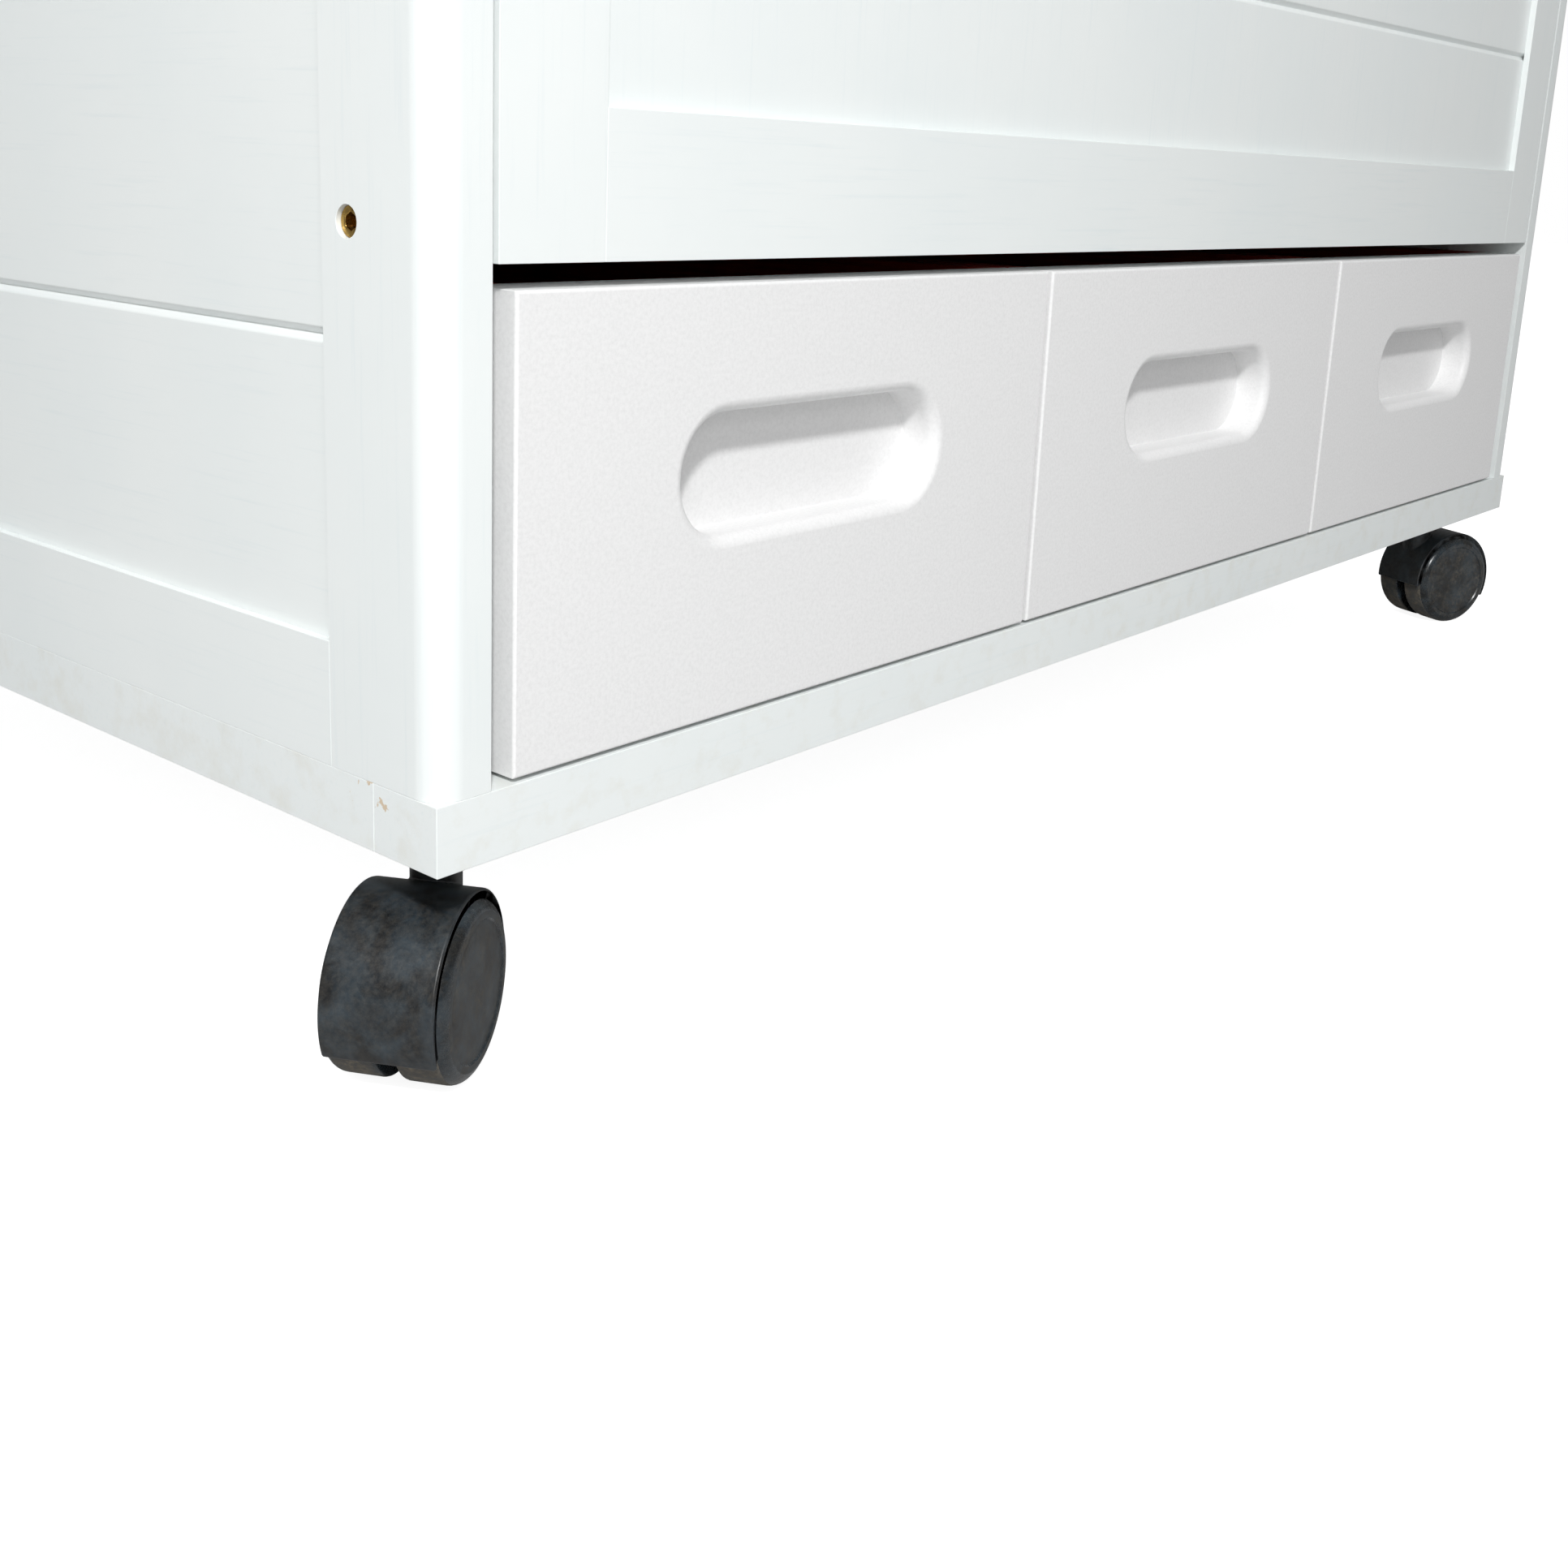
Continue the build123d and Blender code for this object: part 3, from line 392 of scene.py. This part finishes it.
def modelWheel(radius, width):
    # axis along Z, outer face up; the tread turns into the face in a full round, and the face is dished
    bpy.ops.object.select_all(action="DESELECT")
    bpy.ops.mesh.primitive_cylinder_add(vertices=casterWheel["segments"], radius=radius, depth=width)
    wheel = bpy.context.object
    mesh = wheel.data

    def roundRim(height, offset, segments):
        bpy.ops.object.mode_set(mode="EDIT")
        bpy.ops.mesh.select_mode(type="EDGE")
        bpy.ops.mesh.select_all(action="DESELECT")
        bpy.ops.object.mode_set(mode="OBJECT")
        for edge in mesh.edges:
            edge.select = all(abs(mesh.vertices[i].co.z - height) < 1e-5 for i in edge.vertices)
        bpy.ops.object.mode_set(mode="EDIT")
        bpy.ops.mesh.bevel(offset=offset, segments=segments, affect="EDGES")
        bpy.ops.object.mode_set(mode="OBJECT")

    roundRim(width / 2, casterWheel["shoulder"], casterWheel["shoulderSteps"])
    roundRim(-width / 2, casterWheel["treadEase"], casterWheel["treadSteps"])
    bpy.ops.object.mode_set(mode="EDIT")
    bpy.ops.mesh.select_mode(type="FACE")
    bpy.ops.mesh.select_all(action="DESELECT")
    bpy.ops.object.mode_set(mode="OBJECT")
    max(mesh.polygons, key=lambda face: (round(face.center.z, 5), face.area)).select = True
    bpy.ops.object.mode_set(mode="EDIT")
    bpy.ops.mesh.inset(thickness=casterWheel["ringWidth"])
    bpy.ops.mesh.inset(thickness=casterWheel["dishDepth"], depth=-casterWheel["dishDepth"])
    bpy.ops.mesh.inset(thickness=casterWheel["domeWidth"])
    bpy.ops.mesh.inset(thickness=casterWheel["domeWidth"], depth=casterWheel["dishDepth"] / 2)
    bpy.ops.object.mode_set(mode="OBJECT")
    for finish in ("wheelFace", "wheelShoulder", "wheelTread"):
        mesh.materials.append(finishes[finish])
    for face in mesh.polygons:
        outwards = face.normal.z
        onTread, onFace = abs(outwards) < casterWheel["treadSlope"], outwards >= casterWheel["faceSlope"]
        face.material_index = 2 if onTread else 0 if onFace else 1
    bpy.ops.object.shade_smooth_by_angle(angle=math.radians(casterWheel["smoothDegrees"]))
    wheel.modifiers.new("evenShading", "WEIGHTED_NORMAL").keep_sharp = True
    applyModifiers(wheel)
    return wheel


def centreOf(node):
    low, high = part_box(node)
    return (low + high) / 2


def lengthAlong(node, axis):
    along = [vertex.co.dot(axis) for vertex in frame["nodes"][node].data.vertices]
    return max(along) - min(along)


casterHood = {"trim": 0.0028, "edgeMm": 0.6}     # how far each side stands back from the wheel's face


def modelHoods():
    # the shell stops short of the wheels' outer faces, so their round shoulders show beside it
    for name in casterNames:
        node = f"{name}_caster_hood"
        hood = mergedCopy(node, camelName(node))
        across = (centreOf(f"{name}_wheel_a") - centreOf(f"{name}_wheel_b")).normalized()
        middle = (centreOf(f"{name}_wheel_a") + centreOf(f"{name}_wheel_b")) / 2
        reach = max((vertex.co - middle).dot(across) for vertex in hood.data.vertices)
        for vertex in hood.data.vertices:
            side = (vertex.co - middle).dot(across)
            if abs(side) > reach - casterHood["trim"]:
                vertex.co -= across * math.copysign(abs(side) - reach + casterHood["trim"], side)
        easeEdges(hood, casterHood["edgeMm"])
        hood.data.materials.clear()
        hood.data.materials.append(finishes["hood"])
        joinFrame(hood, bodyOf[node], slotOf[node], node)


def placeWheels():
    first, second = centreOf("front_left_wheel_a"), centreOf("front_left_wheel_b")
    pattern = modelWheel(first.z, lengthAlong("front_left_wheel_a", (first - second).normalized()))
    for name in casterNames:
        for side, otherSide in ("ab", "ba"):
            node = f"{name}_wheel_{side}"
            here, other = centreOf(node), centreOf(f"{name}_wheel_{otherSide}")
            wheel = bpy.data.objects.new(camelName(node), pattern.data.copy())
            bpy.context.scene.collection.objects.link(wheel)
            turn = (here - other).to_track_quat("Z", "X").to_matrix().to_4x4()
            wheel.matrix_world = Matrix.Translation(here) @ turn
            onlySelected(wheel)
            bpy.ops.object.transform_apply(location=True, rotation=True, scale=True)
            joinFrame(wheel, bodyOf[node], slotOf[node], node)
    bpy.data.objects.remove(pattern)


modelHoods()
placeWheels()
print("caster hoods and wheels modelled")


studio = {
    "floorSize": 14,
    "floorHex": "bababa",
    "floorGlow": 0.9,            # lifts the floor to white in the picture without lighting the object
    "skyLight": 0.44,            # soft all-round light on the object
    "skyGloss": 0.5,             # how much of that the gloss of paint and nylon picks up
    "lamps": {                   # place, what it looks at, size and power
        "key": ((-1.0, -0.95, 1.06), (-0.15, -0.15, 0.15), 0.12, 18.0),
        "near": ((-0.56, -0.60, 0.36), (-0.15, -0.15, 0.15), 0.12, 0.3),
        "top": ((0.5, 0.7, 2.6), (0, 0, 0.4), 1.6, 13.0),
    },
}


def makeStudio():
    bpy.ops.object.select_all(action="DESELECT")
    bpy.ops.mesh.primitive_plane_add(size=studio["floorSize"], location=(0, 0, 0))
    floor = bpy.context.object
    floor.name = "studioFloor"
    finish, tree = newFinish("paleFloor")
    seen = addNode(tree, "ShaderNodeLightPath").outputs["Is Camera Ray"]
    glow = addNode(tree, "ShaderNodeMath", {"operation": "MULTIPLY", 1: studio["floorGlow"]}, {0: seen})
    shader = addNode(tree, "ShaderNodeBsdfPrincipled", {"Base Color": hexToLinear(studio["floorHex"]),
                     "Roughness": 0.9, "Emission Color": (1, 1, 1, 1)}, {"Emission Strength": glow})
    addNode(tree, "ShaderNodeOutputMaterial", {}, {"Surface": shader})
    floor.data.materials.append(finish)

    world = bpy.data.worlds.new("studioSky")
    world.use_nodes = True
    bpy.context.scene.world = world
    tree = world.node_tree
    tree.nodes.clear()
    path = addNode(tree, "ShaderNodeLightPath").outputs
    lit = addNode(tree, "ShaderNodeMapRange", {"To Min": studio["skyLight"]},
                  {"Value": path["Is Camera Ray"]})
    gloss = addNode(tree, "ShaderNodeMapRange", {"To Min": 1.0, "To Max": studio["skyGloss"]},
                    {"Value": path["Is Glossy Ray"]})
    strength = addNode(tree, "ShaderNodeMath", {"operation": "MULTIPLY"}, {0: lit, 1: gloss})
    sky = addNode(tree, "ShaderNodeBackground", {"Color": (1, 1, 1, 1)}, {"Strength": strength})
    addNode(tree, "ShaderNodeOutputWorld", {}, {"Surface": sky})

    for name, (place, target, size, power) in studio["lamps"].items():
        lamp = bpy.data.lights.new(name + "Light", "AREA")
        lamp.shape = "DISK"
        lamp.size = size
        lamp.energy = power
        holder = bpy.data.objects.new(name + "Light", lamp)
        bpy.context.scene.collection.objects.link(holder)
        holder.location = place
        holder.rotation_mode = "QUATERNION"
        holder.rotation_quaternion = (Vector(place) - Vector(target)).to_track_quat("Z", "Y")


makeStudio()
bpy.context.scene.view_settings.view_transform = "Standard"

viewpoint = {
    "fromCorner": (-0.20887, -0.25806, 0.14136),    # from the base's front left bottom corner
    "heading": 50.50,            # degrees from +Y towards +X
    "pitch": -13.86,
    "roll": 2.51,
    "lens": 40.51,
    "shiftUp": -0.12,
}


def makeCamera():
    lens = bpy.data.cameras.new("viewpoint")
    lens.lens = viewpoint["lens"]
    lens.sensor_width = 36
    lens.shift_y = viewpoint["shiftUp"]
    lens.clip_start = 0.01
    camera = bpy.data.objects.new("viewpoint", lens)
    bpy.context.scene.collection.objects.link(camera)
    turn = Matrix.Rotation(-math.radians(viewpoint["heading"]), 4, "Z")
    tilt = Matrix.Rotation(math.radians(90 + viewpoint["pitch"]), 4, "X")
    roll = Matrix.Rotation(math.radians(viewpoint["roll"]), 4, "Z")
    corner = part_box("base_front_rail")[0]
    place = Matrix.Translation(corner + Vector(viewpoint["fromCorner"]))
    camera.matrix_world = place @ turn @ tilt @ roll
    bpy.context.scene.camera = camera


makeCamera()
print("studio and camera ready")
